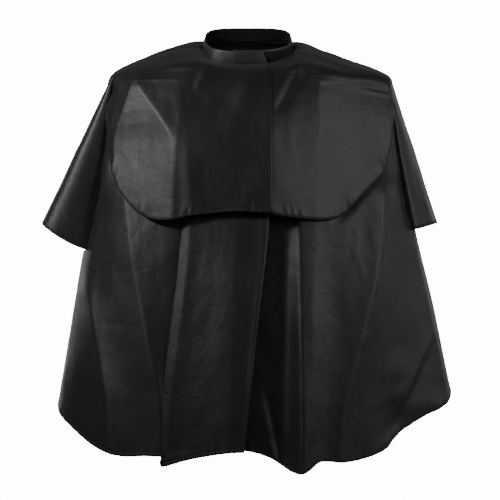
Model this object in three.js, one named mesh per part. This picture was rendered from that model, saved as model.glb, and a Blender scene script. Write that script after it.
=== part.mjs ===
// Barber cape with a chest flap, flutter sleeves and a hook-and-loop neckband.
// Millimetres, +Z up, the cape's front faces -Y, the wearer's right is at -X.
// The origin is the middle of the neck opening.
//
// The cloth hangs as one tent-shaped surface around the body. A place on it is an angle, in degrees
// from the middle of the front and positive towards the wearer's left, and a level, from 0 at the
// neckline to 7 at the hem. Every cloth piece is a thin shell cut out of that surface, so many
// millimetres outside it.
import * as THREE from 'three';

// ---- driving dimensions ----
const CLOTH = 1.5;                // thickness of a cloth layer
const LAYER_GAP = 1.5;            // clearance to a strip sewn on a layer
const LAP = 6;                    // how far an overlapping front half stands off the one under it
const FLAP_STAND = 12;            // how far the chest flap stands off the body
const NECK_LAYER = 2;             // spacing of the same layers where they meet at the neckline
const LAYERS_SPREAD = 1.2;        // level at which the layers have their full spacing
const SEAM_GAP = 0.25;            // half the gap left at a seam between two panels, in degrees
const HEM_WIDTH = 8;              // bound edges
const FACING_WIDTH = 22;          // facing down each front edge
const SEAM_WIDTH = 12;            // seam tapes

const RIGHT = -1;                 // the wearer's right, at -X
const LEFT = 1;

// Rings that the cloth passes through: half widths to the wearer's right and left, half depths to
// the front and back, corner power (2 is an ellipse), and heights at the sides, front and back.
const ring = (right, left, front, back, corner, sideZ, frontZ, backZ) =>
  ({ right, left, front, back, corner, sideZ, frontZ, backZ });
const RINGS = [
  ring(80, 80, 64, 64, 2.0, 0, -27, 27),
  ring(150, 150, 91, 84, 2.3, -6, -40, 10),
  ring(222, 229, 114, 102, 3.0, -34, -54, -22),
  ring(235, 243, 132, 119, 3.2, -80, -100, -86),
  ring(247, 257, 150, 133, 3.0, -180, -190, -185),
  ring(272, 285, 167, 147, 2.8, -310, -318, -315),
  ring(297, 316, 187, 165, 2.5, -450, -480, -478),
  ring(322, 343, 207, 187, 2.3, -600, -674, -674),
];
const HEM_LEVEL = RINGS.length - 1;
const NECK_EDGE_LEVEL = 0.12;     // the panels stop just short of the neckband

// Armholes and sleeves
const ARMHOLE_ANGLE = 66;         // the armhole runs from here to as far behind the side
const ARMHOLE_TOP = 2.3;          // level of the armhole's top
const UNDERARM = { [RIGHT]: -338, [LEFT]: -304 };         // height of the armhole's foot
const SLEEVE_TOP = -60;
const SLEEVE_TIP = -292;          // height of the sleeve's outermost point
const SLEEVE_START_X = { [RIGHT]: 236, [LEFT]: 243 };     // half width of the sleeve at its top
const SLEEVE_FLARE = { [RIGHT]: 0.48, [LEFT]: 0.325 };    // how much wider per millimetre down

// Chest flap
const FLAP_ANGLE = 62;            // how far round the flap reaches
const SHOULDER_REACH = 86;        // how far round its sewn top reaches, along the shoulder
const FLAP_NECK_LEVEL = 0.38;     // level of its sewn top edge
const FLAP_HEM = -283;            // height of the flap's hem at the front
const FLAP_SIDE_RISE = 223;       // how far the hem climbs towards the flap's top corners
const FLAP_RISE_ANGLE = 67;
const FLAP_RISE_POWER = 3.5;
const FLAP_FOLD = -62;            // height of the crease that the flap lifts on
const FLAP_FOLD_DROP = 22;        // the crease is this much lower at the sides

// Front opening: angles of the outer half's edge and of the hidden edge, from neckline to hem
const OUTER_EDGE = [19, 14, 9.5, 9.5, 9.5, 7, 4, 0];
const INNER_EDGE = [-14, -14, -14, -14, -14, -14, -14, -14];
const LAP_RAMP = [-34, -19];      // where the outer half climbs over the inner one

// Neckband
const BAND_HEIGHT = 25;
const BAND_TILT = THREE.MathUtils.degToRad(23);           // the neck leans forwards
const BAND_BASE = { width: 77, depth: 67 };               // half sizes at the neckline
const BAND_TOP = { width: 69, depth: 60 };
const BAND_LAYER = 0.8;
const BAND_GAP = 0.3;
const TAB_STAND = 5.4;            // the tab lies this far outside the band under it
const TAB_RAMP = [-48, -28];
const TAB_ANGLES = [-21.5, 20];   // from the tab's root to its free end
const TAB_END_SLANT = 4;          // the free end leans by this much
const TAB_BOTTOM = 8;
const BAND_ENDS = [-22, -379];    // once round the neck, from the tab's root to the end under it
const LOOP_ANGLES = [-15, 60];
const HOOK_ANGLES = [-10, 18];
const PATCH_MARGIN = 3;

const CLOTH_LOOK = { color: 0x17161a, roughness: 0.42, metalness: 0 };
const BINDING_LOOK = { color: 0x0f0f12, roughness: 0.6, metalness: 0 };
const TAPE_LOOK = { color: 0x1b1b1d, roughness: 0.9, metalness: 0 };
const CORE_LOOK = { color: 0x8c8c88, roughness: 0.9, metalness: 0 };

// ---- small helpers ----
const { clamp, degToRad, lerp, smoothstep } = THREE.MathUtils;

// A value read along a list of evenly spaced knots, on a smooth curve through them.
function alongKnots(knots, place) {
  const last = knots.length - 1;
  const start = clamp(Math.floor(place), 0, last - 1);
  const t = clamp(place, 0, last) - start;
  const a = knots[Math.max(start - 1, 0)];
  const b = knots[start];
  const c = knots[start + 1];
  const d = knots[Math.min(start + 2, last)];
  const slopeIn = (c - a) / 2;
  const slopeOut = (d - b) / 2;
  const bend = t * t * (3 - 2 * t);
  return b + (c - b) * bend + slopeIn * t * (1 - t) * (1 - t) - slopeOut * t * t * (1 - t);
}

const ringValue = (key, level) => alongKnots(RINGS.map((r) => r[key]), level);

// The cloth surface itself, before any layer stands off it.
function bodyPoint(angle, level) {
  const phi = degToRad(angle);
  const across = Math.sin(phi);
  const ahead = Math.cos(phi);
  const corner = ringValue('corner', level);
  const reach = (Math.abs(across) ** corner + Math.abs(ahead) ** corner) ** (-1 / corner);
  const halfWidth = ringValue(across < 0 ? 'right' : 'left', level);
  const halfDepth = ringValue(ahead > 0 ? 'front' : 'back', level);
  const towardsEnd = Math.abs(ahead) * reach;
  const rounded = lerp(towardsEnd, smoothstep(towardsEnd, 0, 1), Math.min(1, level / 2));
  const endZ = ringValue(ahead > 0 ? 'frontZ' : 'backZ', level);
  const z = lerp(ringValue('sideZ', level), endZ, rounded);
  return new THREE.Vector3(halfWidth * across * reach, -halfDepth * ahead * reach, z);
}

// The level at which the surface is at a height, at one angle.
function levelAt(angle, z) {
  let high = 1.5;
  let low = HEM_LEVEL;
  for (let i = 0; i < 30; i += 1) {
    const middle = (high + low) / 2;
    if (bodyPoint(angle, middle).z > z) high = middle;
    else low = middle;
  }
  return (high + low) / 2;
}

// A point standing off a surface along its outward normal. place(u, v) gives the surface.
function standOff(place, u, v, distance) {
  const step = 1e-3;
  const point = place(u, v);
  const alongU = place(u + step, v).sub(place(u - step, v));
  const alongV = place(u, v + step).sub(place(u, v - step));
  const normal = alongU.cross(alongV).normalize();
  const outwards = new THREE.Vector3(point.x, point.y, 150);
  if (normal.dot(outwards) < 0) normal.negate();
  return point.addScaledVector(normal, distance);
}

// A closed shell between an inner and an outer grid of points. pointAt(i, j, isOuter) is a corner.
function shell(columns, rows, pointAt) {
  const positions = [];
  const perSide = (columns + 1) * (rows + 1);
  for (const isOuter of [true, false]) {
    for (let j = 0; j <= rows; j += 1) {
      for (let i = 0; i <= columns; i += 1) {
        positions.push(...pointAt(i / columns, j / rows, isOuter).toArray());
      }
    }
  }
  const corner = (i, j, isOuter) => j * (columns + 1) + i + (isOuter ? 0 : perSide);
  const faces = [];
  const quad = (a, b, c, d) => faces.push(a, b, c, a, c, d);
  for (let j = 0; j < rows; j += 1) {
    for (let i = 0; i < columns; i += 1) {
      quad(corner(i, j, true), corner(i + 1, j, true), corner(i + 1, j + 1, true), corner(i, j + 1, true));
      quad(corner(i, j, false), corner(i, j + 1, false), corner(i + 1, j + 1, false), corner(i + 1, j, false));
    }
  }
  for (let i = 0; i < columns; i += 1) {
    quad(corner(i, 0, true), corner(i, 0, false), corner(i + 1, 0, false), corner(i + 1, 0, true));
    quad(corner(i, rows, true), corner(i + 1, rows, true), corner(i + 1, rows, false), corner(i, rows, false));
  }
  for (let j = 0; j < rows; j += 1) {
    quad(corner(0, j, true), corner(0, j + 1, true), corner(0, j + 1, false), corner(0, j, false));
    quad(corner(columns, j, true), corner(columns, j, false), corner(columns, j + 1, false), corner(columns, j + 1, true));
  }
  if (signedVolume(positions, faces) < 0) faces.reverse();
  const geometry = new THREE.BufferGeometry();
  geometry.setAttribute('position', new THREE.Float32BufferAttribute(positions, 3));
  geometry.setIndex(faces);
  geometry.computeVertexNormals();
  return geometry;
}

function signedVolume(positions, faces) {
  const corner = (k) => new THREE.Vector3().fromArray(positions, faces[k] * 3);
  let volume = 0;
  for (let k = 0; k < faces.length; k += 3) {
    volume += corner(k).dot(corner(k + 1).cross(corner(k + 2))) / 6;
  }
  return volume;
}

const cape = new THREE.Group();

function add(name, geometry, look) {
  const mesh = new THREE.Mesh(geometry, new THREE.MeshStandardMaterial(look));
  mesh.name = name;
  cape.add(mesh);
}

// ---- cloth cut from the body surface ----

// How far outside the surface a layer lies: the full stand-off below the shoulders, and the
// layers' own thickness at the neckline, where they are sewn together.
function layerOffset(full, neckLayers, level) {
  return lerp(neckLayers * NECK_LAYER, full, smoothstep(level, 0, LAYERS_SPREAD));
}

// A shell on the body surface. angles(v) gives [from, to], levels(angle, v) the level, and
// offset(angle, level) the outer face's distance from the surface.
function bodyShell(columns, rows, angles, levels, offset) {
  return shell(columns, rows, (u, v, isOuter) => {
    const [from, to] = angles(v);
    const angle = lerp(from, to, u);
    const level = levels(angle, v);
    return standOff(bodyPoint, angle, level, offset(angle, level) - (isOuter ? 0 : CLOTH));
  });
}

const inside = CLOTH + LAYER_GAP;

// The level of each armhole's foot.
const armholeFoot = (side) => levelAt(side * ARMHOLE_ANGLE, UNDERARM[side]);
const FOOT = { [RIGHT]: armholeFoot(RIGHT), [LEFT]: armholeFoot(LEFT) };
const FOOT_BEND = 0.15;

// The side edge of a panel: the side seam, or the armhole's edge where the arm comes through.
function sideAngle(side, level) {
  const openAbove = smoothstep(level, ARMHOLE_TOP - 0.08, ARMHOLE_TOP + 0.08);
  const closedBelow = smoothstep(level, FOOT[side], FOOT[side] + FOOT_BEND);
  return lerp(90, ARMHOLE_ANGLE, openAbove * (1 - closedBelow));
}

// Levels of a panel's rows, closer together round the armholes' tops and feet.
const PANEL_LEVELS = [
  NECK_EDGE_LEVEL, 0.5, 1, 1.5, 1.9, 2.2, 2.4, 2.8, 3.4, 4, 4.5,
  FOOT[LEFT], FOOT[LEFT] + FOOT_BEND, FOOT[RIGHT], FOOT[RIGHT] + FOOT_BEND, 5.8, 6.4, HEM_LEVEL,
].sort((a, b) => a - b);
const PANEL_ROWS = PANEL_LEVELS.length - 1;
const panelLevel = (v) => PANEL_LEVELS[Math.round(v * PANEL_ROWS)];

// How far a front half stands off: the outer half climbs over the inner one.
const climb = (angle) => smoothstep(angle, ...LAP_RAMP);
const frontOffset = { [RIGHT]: (angle, level) => layerOffset(LAP, 1, level) * climb(angle), [LEFT]: () => 0 };
const frontEdge = { [RIGHT]: (level) => alongKnots(OUTER_EDGE, level), [LEFT]: (level) => alongKnots(INNER_EDGE, level) };

function frontPanel(side) {
  const angles = (v) => {
    const level = panelLevel(v);
    return [side * (sideAngle(side, level) - SEAM_GAP), frontEdge[side](level)];
  };
  return bodyShell(14, PANEL_ROWS, angles, (angle, v) => panelLevel(v), frontOffset[side]);
}

function backPanel() {
  const angles = (v) => {
    const level = panelLevel(v);
    return [180 - sideAngle(LEFT, level) + SEAM_GAP, 180 + sideAngle(RIGHT, level) - SEAM_GAP];
  };
  return bodyShell(24, PANEL_ROWS, angles, (angle, v) => panelLevel(v), () => 0);
}

// A bound edge inside the hem, from one angle to another.
function hemBinding(from, to, offset) {
  const top = HEM_LEVEL - HEM_WIDTH / 190;
  return bodyShell(14, 1, () => [from, to], (angle, v) => lerp(top, HEM_LEVEL, v), (a, l) => offset(a, l) - inside);
}

// A facing inside one front edge, from below the flap's fold to just above the hem binding.
function frontFacing(side) {
  const levelOf = (v) => lerp(2, HEM_LEVEL - 0.1, v);
  const angles = (v) => {
    const level = levelOf(v);
    const edge = frontEdge[side](level);
    const width = THREE.MathUtils.radToDeg(FACING_WIDTH / ringValue('right', level));
    return [edge, edge + side * width];
  };
  return bodyShell(2, 10, angles, (angle, v) => levelOf(v), (a, l) => frontOffset[side](a, l) - inside);
}

// A tape inside a seam that runs down at one angle.
function seamTape(angle, topLevel, footLevel, rows) {
  const angles = (v) => {
    const depth = ringValue('back', lerp(topLevel, footLevel, v));
    const half = THREE.MathUtils.radToDeg(SEAM_WIDTH / 2 / depth);
    return [angle - half, angle + half];
  };
  return bodyShell(2, rows, angles, (a, v) => lerp(topLevel, footLevel, v), () => -inside);
}

add('back_panel', backPanel(), CLOTH_LOOK);
add('front_panel_right', frontPanel(RIGHT), CLOTH_LOOK);
add('front_panel_left', frontPanel(LEFT), CLOTH_LOOK);
add('hem_binding_back', hemBinding(91, 269, () => 0), BINDING_LOOK);
add('hem_binding_front_right', hemBinding(-89, frontEdge[RIGHT](HEM_LEVEL), frontOffset[RIGHT]), BINDING_LOOK);
add('hem_binding_front_left', hemBinding(frontEdge[LEFT](HEM_LEVEL), 89, frontOffset[LEFT]), BINDING_LOOK);
for (const [side, name] of [[RIGHT, 'right'], [LEFT, 'left']]) {
  add(`front_facing_${name}`, frontFacing(side), BINDING_LOOK);
  add(`side_seam_tape_${name}`, seamTape(side * 90, FOOT[side] + 0.2, HEM_LEVEL - 0.1, 6), BINDING_LOOK);
  add(`shoulder_seam_tape_${name}`, seamTape(side * 90, 0.35, 2, 6), BINDING_LOOK);
}
add('neck_seam_binding', bodyShell(36, 1, () => [frontEdge[LEFT](0) + 30, 344], (a, v) => lerp(0.14, 0.26, v), () => -inside), BINDING_LOOK);

// ---- sleeves ----

// A sleeve stands out from the armhole's two edges like the nose of a wing. across runs from -1 at
// the front edge to 1 at the back edge, and down from 0 at the shoulder to 1 at the open hem.
function sleevePoint(side, across, down) {
  const hemZ = lerp(SLEEVE_TIP, UNDERARM[side], across * across);
  const z = lerp(SLEEVE_TOP, hemZ, down);
  const frontAngle = side * (ARMHOLE_ANGLE + 1.5);
  const backAngle = side * (180 - ARMHOLE_ANGLE - 1.5);
  const front = bodyPoint(frontAngle, levelAt(frontAngle, z));
  const back = bodyPoint(backAngle, levelAt(backAngle, z));
  const root = lerp(Math.abs(front.x), Math.abs(back.x), (across + 1) / 2);
  const tip = SLEEVE_START_X[side] + SLEEVE_FLARE[side] * (SLEEVE_TOP - z);
  const turn = across * Math.PI / 2;
  const depth = (across < 0 ? Math.abs(front.y) : Math.abs(back.y)) * Math.sin(turn);
  return new THREE.Vector3(side * (root + (tip - root) * Math.cos(turn) ** 0.9), depth, z);
}

function sleeveShell(side, columns, rows, from, to, offset) {
  const place = (across, down) => sleevePoint(side, clamp(across, -1, 1), down);
  return shell(columns, rows, (u, v, isOuter) => {
    const across = lerp(-1, 1, u);
    return standOff(place, across * 0.998, lerp(from, to, v), offset - (isOuter ? 0 : CLOTH));
  });
}

for (const [side, name] of [[RIGHT, 'right'], [LEFT, 'left']]) {
  add(`sleeve_${name}`, sleeveShell(side, 16, 7, 0, 1, 0), CLOTH_LOOK);
  add(`sleeve_hem_binding_${name}`, sleeveShell(side, 16, 1, 1 - HEM_WIDTH / 240, 1, -inside), BINDING_LOOK);
}

// ---- chest flap: a fixed upper part sewn in at the neck, and the part that lifts ----
const foldZ = (angle) => FLAP_FOLD - FLAP_FOLD_DROP * Math.abs(angle / FLAP_ANGLE) ** 3;
const flapHemZ = (angle) => FLAP_HEM + FLAP_SIDE_RISE * Math.abs(angle / FLAP_RISE_ANGLE) ** FLAP_RISE_POWER;

const flapOffset = {
  [RIGHT]: (angle, level) => lerp(layerOffset(FLAP_STAND, 2, level), layerOffset(FLAP_STAND + LAP, 3, level), climb(angle)),
  [LEFT]: (angle, level) => layerOffset(FLAP_STAND, 2, level),
};

function flapShell(side, columns, rows, from, to, offset) {
  const edgeLevel = (angle) => (v) => {
    const z = lerp(foldZ(angle), flapHemZ(angle), v);
    return levelAt(angle, z);
  };
  const angles = () => [side * FLAP_ANGLE, side === RIGHT ? OUTER_EDGE[3] : INNER_EDGE[3]];
  const levels = (angle, v) => edgeLevel(angle)(lerp(from(angle), to, v));
  return bodyShell(columns, rows, angles, levels, offset);
}

// The share of a column's length that the bound edge takes.
const flapHemShare = (angle) => 1 - HEM_WIDTH / (foldZ(angle) - flapHemZ(angle));

// The fixed upper part reaches the shoulder seam at the top and the flap's own edge at the fold.
function flapUpper(side) {
  const reach = (v) => lerp(SHOULDER_REACH, FLAP_ANGLE, smoothstep(v, 0.55, 0.95));
  const angles = (v) => [side * reach(v), frontEdge[side](1)];
  const levels = (angle, v) => lerp(FLAP_NECK_LEVEL, levelAt(angle, foldZ(angle) + 2), v);
  return bodyShell(14, 8, angles, levels, flapOffset[side]);
}

for (const [side, name] of [[RIGHT, 'right'], [LEFT, 'left']]) {
  add(`flap_upper_${name}`, flapUpper(side), CLOTH_LOOK);
  add(`flap_${name}`, flapShell(side, 14, 8, () => 0, 1, flapOffset[side]), CLOTH_LOOK);
  const tucked = (angle, level) => flapOffset[side](angle, level) - inside;
  add(`flap_hem_binding_${name}`, flapShell(side, 14, 1, flapHemShare, 1, tucked), BINDING_LOOK);
}

// ---- neckband ----

// A point on the band: angle round the neck, height up the band, distance outside its outer face.
function bandPoint(angle, height, distance) {
  const phi = degToRad(angle);
  const width = lerp(BAND_BASE.width, BAND_TOP.width, height / BAND_HEIGHT) + distance;
  const depth = lerp(BAND_BASE.depth, BAND_TOP.depth, height / BAND_HEIGHT) + distance;
  const flat = new THREE.Vector3(width * Math.sin(phi), -depth * Math.cos(phi), height);
  return flat.applyAxisAngle(new THREE.Vector3(1, 0, 0), BAND_TILT);
}

// A strip of the band between two angles, two heights and two distances.
function bandStrip(columns, angles, heights, thickness, offset, endSlant = 0) {
  return shell(columns, 1, (u, v, isOuter) => {
    const slant = endSlant * (0.5 - v) * u;
    const angle = lerp(angles[0], angles[1], u) + slant;
    return bandPoint(angle, lerp(heights[0], heights[1], v), offset(angle) - (isOuter ? 0 : thickness));
  });
}

// The band's own end climbs outwards to the root of the tab.
const bandClimb = (angle) => TAB_STAND * smoothstep(angle, ...TAB_RAMP);
const bandLayer = BAND_LAYER + BAND_GAP;
const wholeBand = [2, BAND_HEIGHT];
const patchHeights = [TAB_BOTTOM, BAND_HEIGHT - PATCH_MARGIN];
const tabHeights = [TAB_BOTTOM, BAND_HEIGHT];

add('neckband_outer', bandStrip(72, BAND_ENDS, wholeBand, BAND_LAYER, bandClimb), CLOTH_LOOK);
add('neckband_interfacing', bandStrip(72, BAND_ENDS, [3, 24], BAND_LAYER, (a) => bandClimb(a) - bandLayer), CORE_LOOK);
add('neckband_lining', bandStrip(72, BAND_ENDS, wholeBand, BAND_LAYER, (a) => bandClimb(a) - 2 * bandLayer), CLOTH_LOOK);
add('loop_patch', bandStrip(14, LOOP_ANGLES, patchHeights, 1.2, () => 1.5), TAPE_LOOK);
add('hook_patch', bandStrip(6, HOOK_ANGLES, patchHeights, 1.2, () => 3), TAPE_LOOK);
add('closure_tab_lining', bandStrip(8, TAB_ANGLES, tabHeights, BAND_LAYER, () => TAB_STAND - bandLayer, -TAB_END_SLANT), CLOTH_LOOK);
add('closure_tab_outer', bandStrip(8, TAB_ANGLES, tabHeights, BAND_LAYER, () => TAB_STAND, -TAB_END_SLANT), CLOTH_LOOK);

export default cape;
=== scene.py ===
# Barber cape: the looks. Every length is in millimetres until it becomes a mesh in metres.
import math

import bpy
import numpy as np
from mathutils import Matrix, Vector, noise


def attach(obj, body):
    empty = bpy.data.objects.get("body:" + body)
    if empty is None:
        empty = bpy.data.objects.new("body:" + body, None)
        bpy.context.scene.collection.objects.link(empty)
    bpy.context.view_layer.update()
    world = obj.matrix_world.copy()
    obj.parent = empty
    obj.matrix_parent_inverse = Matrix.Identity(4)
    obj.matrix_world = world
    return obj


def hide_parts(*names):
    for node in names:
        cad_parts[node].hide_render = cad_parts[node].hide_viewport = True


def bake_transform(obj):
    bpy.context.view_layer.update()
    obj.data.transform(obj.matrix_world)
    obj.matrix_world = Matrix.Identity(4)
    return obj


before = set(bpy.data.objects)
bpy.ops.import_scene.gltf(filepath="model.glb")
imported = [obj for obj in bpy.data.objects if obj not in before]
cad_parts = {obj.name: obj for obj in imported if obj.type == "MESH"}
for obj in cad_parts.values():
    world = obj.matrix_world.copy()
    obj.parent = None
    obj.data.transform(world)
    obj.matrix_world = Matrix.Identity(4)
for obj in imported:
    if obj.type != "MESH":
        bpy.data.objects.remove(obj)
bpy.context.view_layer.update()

MM = 0.001
RIGHT, LEFT = -1, 1          # the wearer's right is at -X
SIDE_NAME = {RIGHT: "right", LEFT: "left"}

CLOTH = 0.6                  # thickness of the nylon
TAPE = 0.35                  # thickness of a binding or seam tape
PATCH = 0.5                  # thickness of a hook or loop patch
BINDING_WIDTH = 5.0
BINDING_ROWS = (1.0, 0.62, 0.3, 0.08)     # shares of its width at which its points lie, towards the edge
STITCH_INSET = 1.5           # from a binding's inner edge to its stitches

# ---- the surface that the cloth hangs on, as in the CAD model ----
# half widths right and left, half depths front and back, corner power, heights side, front, back
RINGS = np.array([
    (80, 80, 64, 64, 2.0, 0, -27, 27),
    (150, 150, 91, 84, 2.3, -6, -40, 10),
    (222, 229, 114, 102, 3.0, -34, -54, -22),
    (235, 243, 132, 119, 3.2, -80, -100, -86),
    (247, 257, 150, 133, 3.0, -180, -190, -185),
    (270, 282, 167, 147, 2.8, -310, -318, -315),
    (294.5, 314, 187, 165, 2.5, -450, -480, -478),
    (322, 343, 207, 187, 2.3, -600, -674, -674),
], dtype=float)
WIDTH_RIGHT, WIDTH_LEFT, DEPTH_FRONT, DEPTH_BACK, CORNER, SIDE_Z, FRONT_Z, BACK_Z = range(8)
HEM_LEVEL = len(RINGS) - 1
NECK_LEVEL = 0.06

ARMHOLE_ANGLE = 66
ARMHOLE_TOP = 2.3
UNDERARM = {RIGHT: -338, LEFT: -304}
FOOT_BEND = 0.06             # levels over which the armhole's edge turns into the side seam


def smooth(value, low, high):
    """0 up to low, 1 from high on, and an even rise between them."""
    t = np.clip((value - low) / (high - low), 0, 1)
    return t * t * (3 - 2 * t)


def lerp(a, b, t):
    """From a to b, as t goes from 0 to 1."""
    return a + (b - a) * t


def unit(vectors):
    """The same directions, each with a length of 1."""
    return vectors / (np.linalg.norm(vectors, axis=-1, keepdims=True) + 1e-12)


def length_along(line):
    """The length from a line's first point to each of its points."""
    return np.concatenate([[0], np.cumsum(np.linalg.norm(np.diff(line, axis=0), axis=-1))])


def along_knots(knots, place):
    """A smooth curve through evenly spaced knots."""
    knots = np.asarray(knots, dtype=float)
    last = len(knots) - 1
    place = np.clip(place, 0, last)
    start = np.clip(np.floor(place).astype(int), 0, last - 1)
    t = place - start
    a = knots[np.maximum(start - 1, 0)]
    b = knots[start]
    c = knots[start + 1]
    d = knots[np.minimum(start + 2, last)]
    bend = t * t * (3 - 2 * t)
    return b + (c - b) * bend + (c - a) / 2 * t * (1 - t) ** 2 - (d - b) / 2 * t * t * (1 - t)


def body_surface(angle, level):
    """Points at angles round the body, from the middle of the front, and levels from neck to hem."""
    angle, level = np.broadcast_arrays(np.asarray(angle, float), np.asarray(level, float))
    value = [along_knots(RINGS[:, k], level) for k in range(8)]
    across = np.sin(np.radians(angle))
    ahead = np.cos(np.radians(angle))
    corner = value[CORNER]
    reach = (np.abs(across) ** corner + np.abs(ahead) ** corner) ** (-1 / corner)
    width = np.where(across < 0, value[WIDTH_RIGHT], value[WIDTH_LEFT])
    depth = np.where(ahead > 0, value[DEPTH_FRONT], value[DEPTH_BACK])
    towards_end = np.abs(ahead) * reach
    rounded = lerp(towards_end, smooth(towards_end, 0, 1), np.minimum(1, level / 2))
    end_z = np.where(ahead > 0, value[FRONT_Z], value[BACK_Z])
    z = lerp(value[SIDE_Z], end_z, rounded)
    return np.stack([width * across * reach, -depth * ahead * reach, z], axis=-1)


def body_normal(angle, level):
    """Unit normals of that surface, facing away from the body."""
    turn, drop = 0.5, 0.02
    low, high = np.maximum(level - drop, 0), np.minimum(level + drop, HEM_LEVEL)
    along = body_surface(angle + turn, level) - body_surface(angle - turn, level)
    down = body_surface(angle, high) - body_surface(angle, low)
    return unit(np.cross(down, along))


def bisect(near, far, falls_short, steps):
    """Where falls_short turns false, between near and far."""
    for _ in range(steps):
        middle = (near + far) / 2
        short = falls_short(middle)
        near = np.where(short, middle, near)
        far = np.where(short, far, middle)
    return (near + far) / 2


def level_at(angle, z):
    """The level at which the surface is at a height, at each angle."""
    angle, z = np.broadcast_arrays(np.asarray(angle, float), np.asarray(z, float))
    top, bottom = np.full(angle.shape, 1.5), np.full(angle.shape, float(HEM_LEVEL))
    return bisect(top, bottom, lambda level: body_surface(angle, level)[..., 2] > z, 18)


def angle_at(x, z):
    """The angle at which the front of the surface has a width x, at a height z."""
    x, z = np.broadcast_arrays(np.asarray(x, float), np.asarray(z, float))

    def inside(angle):
        return np.abs(body_surface(angle, level_at(angle, z))[..., 0]) < np.abs(x)

    return bisect(np.zeros(x.shape), 90.0 * np.where(x < 0, -1, 1), inside, 16)


FOOT = {side: float(level_at(side * ARMHOLE_ANGLE, UNDERARM[side])) for side in (RIGHT, LEFT)}


def side_angle(side, level):
    """The side seam, or the armhole's edge where the arm comes through."""
    open_above = smooth(level, ARMHOLE_TOP - 0.12, ARMHOLE_TOP + 0.12)
    closed_below = smooth(level, FOOT[side], FOOT[side] + FOOT_BEND)
    return lerp(90, ARMHOLE_ANGLE, open_above * (1 - closed_below))


STEADY_ANGLE = 57            # inside this angle the grid's columns don't shift where the armhole begins


def spread_columns(outer, inner, side, outer_count, inner_count):
    """Angles from a panel's side edge to its inner edge, one row per level."""
    steady = side * STEADY_ANGLE
    near_side = lerp(outer[:, None], steady, np.linspace(0, 1, outer_count, endpoint=False))
    return np.hstack([near_side, lerp(steady, inner[:, None], np.linspace(0, 1, inner_count))])


class FrontDepth:
    """How far forward the plain front stands at (x, z), looked up in a table."""
    STEP = 8.0
    LEFTMOST, TOP = -328.0, -12.0

    def __init__(self):
        x = np.arange(self.LEFTMOST, 352, self.STEP)
        z = np.arange(self.TOP, -716, -self.STEP)
        x, z = np.meshgrid(x, z)
        angle = angle_at(x, z)
        self.table = -body_surface(angle, level_at(angle, z))[..., 1]

    def __call__(self, x, z):
        rows, columns = self.table.shape
        u = np.clip((x - self.LEFTMOST) / self.STEP, 0, columns - 1.001)
        v = np.clip((self.TOP - z) / self.STEP, 0, rows - 1.001)
        i, j = u.astype(int), v.astype(int)
        upper = lerp(self.table[j, i], self.table[j, i + 1], u - i)
        lower = lerp(self.table[j + 1, i], self.table[j + 1, i + 1], u - i)
        return lerp(upper, lower, v - j)


FRONT = FrontDepth()


# ---- flat facets between creases, and single folds ----
class Crease:
    """A line down the front, as (x, z, out) points: where it runs and how far it stands out there."""

    def __init__(self, *points, soft=3.0):
        self.x, self.z, self.out = np.array(points, float).T
        self.soft = soft

    def at(self, z):
        """The crease's x and out at each height, averaged over a short length to keep its bends soft."""
        spans = [np.asarray(z) + shift for shift in (-16, -8, 0, 8, 16)]
        x = sum(np.interp(-span, -self.z, self.x) for span in spans) / len(spans)
        out = sum(np.interp(-span, -self.z, self.out) for span in spans) / len(spans)
        return x, out


def facet_depth(creases, x, z):
    """How far forward the cloth stands when it hangs flat from each crease to the next."""
    places = [crease.at(z) for crease in creases]
    across = [place[0] for place in places]
    depth = [FRONT(place[0], z) + place[1] for place in places]
    slopes = [(depth[k + 1] - depth[k]) / np.maximum(across[k + 1] - across[k], 1)
              for k in range(len(creases) - 1)]
    result = depth[0] + slopes[0] * (x - across[0])
    for k in range(1, len(slopes)):
        away = x - across[k]
        bend = slopes[k] - slopes[k - 1]
        result = result + bend / 2 * (away + np.sqrt(away ** 2 + creases[k].soft ** 2))
    return result


FACET_FADE = 22.0            # beyond the outer creases the facets give way to the round side


def hang_flat(points, creases, amount):
    """Moves the cloth forward or back onto its facets, as far as amount says."""
    x, z = points[..., 0], points[..., 2]
    first, last = creases[0].at(z)[0], creases[-1].at(z)[0]
    share = smooth(x, first - FACET_FADE, first) * (1 - smooth(x, last, last + FACET_FADE)) * amount
    moved = points.copy()
    moved[..., 1] = -lerp(-points[..., 1], facet_depth(creases, x, z), share)
    return moved


class Fold:
    """A ridge, or a valley where height is negative, with a flat slope on each side of its line."""

    def __init__(self, start, end, height, left, right, round_off=0.12, fade=0.15):
        self.start, self.end = np.array(start, float), np.array(end, float)
        self.height, self.left, self.right = height, left, right
        self.round_off, self.fade = round_off, fade

    def push(self, x, z):
        run = self.end - self.start
        length = math.hypot(*run)
        along = ((x - self.start[0]) * run[0] + (z - self.start[1]) * run[1]) / length ** 2
        t = np.clip(along, 0, 1)
        beside = (run[0] * (z - self.start[1]) - run[1] * (x - self.start[0])) / length
        width = np.where(beside < 0, lerp(*self.left, t), lerp(*self.right, t))
        away = np.sqrt((beside / width) ** 2 + self.round_off ** 2)
        slope = 1 + self.round_off - away
        shape = np.maximum(0.5 * (slope + np.sqrt(slope ** 2 + 0.01)) - 0.0025, 0)
        faded = smooth(along, -self.fade, self.fade) * (1 - smooth(along, 1 - self.fade, 1 + self.fade))
        return lerp(*self.height, t) * shape * faded


def push_of(folds, points):
    """How far several folds together push the cloth out."""
    return sum((fold.push(points[..., 0], points[..., 2]) for fold in folds), np.zeros(points.shape[:-1]))


def crumple(points, seed, size, stretch=(1.0, 1.0, 1.0)):
    """Small uneven swells, as handled nylon keeps."""
    offset = np.array((seed * 7.3, seed * 3.1, seed * 1.7))
    places = points.reshape(-1, 3) * np.array(stretch) / size + offset
    values = [noise.fractal(Vector(place), 0.9, 2.1, 3) for place in places.tolist()]
    return np.array(values).reshape(points.shape[:-1])


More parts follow.
